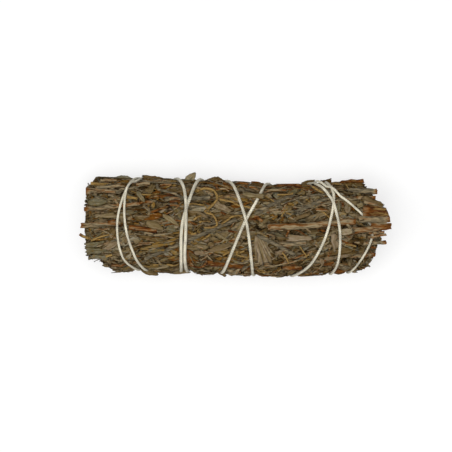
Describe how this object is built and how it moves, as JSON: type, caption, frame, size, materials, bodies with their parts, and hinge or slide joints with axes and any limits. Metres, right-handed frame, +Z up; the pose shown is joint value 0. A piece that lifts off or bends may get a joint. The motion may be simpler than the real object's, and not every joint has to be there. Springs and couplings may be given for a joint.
{
  "type": "sage smudge stick",
  "caption": "Dried sage sprigs and cut woody stems pressed into a round bundle and bound end to end with crossing cotton twine, for burning as incense.",
  "frame": {"origin": "on the table, under the middle of the stick's bounding box", "axes": "+X along the stick towards the end with the long cut stems, +Y to its left, +Z up from the table"},
  "size_m": [0.1016, 0.0328, 0.0309],
  "materials": {
    "dried_sage_leaf": "matte, crumpled, greyish olive brown",
    "woody_stem": "matte bark, tan to orange brown, rusty towards the cut ends",
    "cotton_twine": "matte, twisted, slightly hairy"
  },
  "bodies": {
    "root": {"sprig_01": "dried_sage_leaf", "sprig_02": "dried_sage_leaf", "sprig_03": "dried_sage_leaf", "sprig_04": "dried_sage_leaf", "sprig_05": "dried_sage_leaf", "sprig_06": "dried_sage_leaf", "sprig_07": "dried_sage_leaf", "sprig_08": "dried_sage_leaf", "sprig_09": "dried_sage_leaf", "sprig_10": "dried_sage_leaf", "sprig_11": "dried_sage_leaf", "sprig_12": "dried_sage_leaf", "sprig_13": "dried_sage_leaf", "sprig_14": "dried_sage_leaf", "sprig_15": "dried_sage_leaf", "sprig_16": "dried_sage_leaf", "sprig_17": "dried_sage_leaf", "sprig_18": "dried_sage_leaf", "sprig_19": "dried_sage_leaf", "sprig_20": "dried_sage_leaf", "sprig_21": "dried_sage_leaf", "sprig_22": "dried_sage_leaf", "sprig_23": "dried_sage_leaf", "sprig_24": "dried_sage_leaf", "sprig_25": "dried_sage_leaf", "sprig_26": "dried_sage_leaf", "stem_01": "woody_stem", "stem_02": "woody_stem", "stem_03": "woody_stem", "stem_04": "woody_stem", "stem_05": "woody_stem", "stem_06": "woody_stem", "stem_07": "woody_stem", "stem_08": "woody_stem", "stem_09": "woody_stem", "stem_10": "woody_stem", "stem_11": "woody_stem", "stem_12": "woody_stem", "stem_13": "woody_stem", "stem_14": "woody_stem", "stem_15": "woody_stem", "stem_16": "woody_stem", "stem_17": "woody_stem", "stem_18": "woody_stem", "stem_19": "woody_stem", "stem_20": "woody_stem", "stem_21": "woody_stem", "stem_22": "woody_stem", "stem_23": "woody_stem", "stem_24": "woody_stem", "stem_25": "woody_stem", "stem_26": "woody_stem", "stem_27": "woody_stem", "twine": "cotton_twine"}
  },
  "joints": []
}
